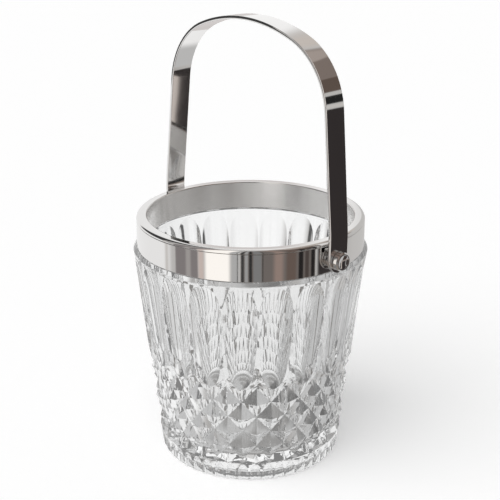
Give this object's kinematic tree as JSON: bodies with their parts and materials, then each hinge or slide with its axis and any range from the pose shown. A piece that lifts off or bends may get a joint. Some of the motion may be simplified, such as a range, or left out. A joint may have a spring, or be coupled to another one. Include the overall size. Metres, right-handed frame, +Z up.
{
  "type": "ice bucket",
  "caption": "Cut-glass ice bucket with tall flutes over a band of pyramid diamonds, a polished metal collar, and a flat bail that swings on turned knobs.",
  "frame": {"origin": "centre of the flat ring that the foot stands on", "axes": "+Z up, +X along the pivot line of the bail"},
  "size_m": [0.2254, 0.2064, 0.3921],
  "materials": {
    "crystal": "clear polished crystal",
    "plated_metal": "polished plate",
    "pin_steel": "turned steel",
    "cement": "matt cement"
  },
  "bodies": {
    "vessel": {"glass_vessel": "crystal", "bedding_ring": "cement", "collar_band": "plated_metal", "collar_rim": "plated_metal", "pivot_boss_right": "plated_metal", "pivot_boss_left": "plated_metal", "pivot_pin_right": "pin_steel", "pivot_pin_left": "pin_steel", "pivot_knob_right": "plated_metal", "pivot_knob_left": "plated_metal"},
    "bail": {"bail_handle": "plated_metal"}
  },
  "joints": [
    {"name": "bail_hinge", "type": "hinge", "parent": "vessel", "child": "bail", "pos_m": [0, 0, 0.206], "axis": [1, 0, 0], "range_deg": [-145, 147]}
  ]
}
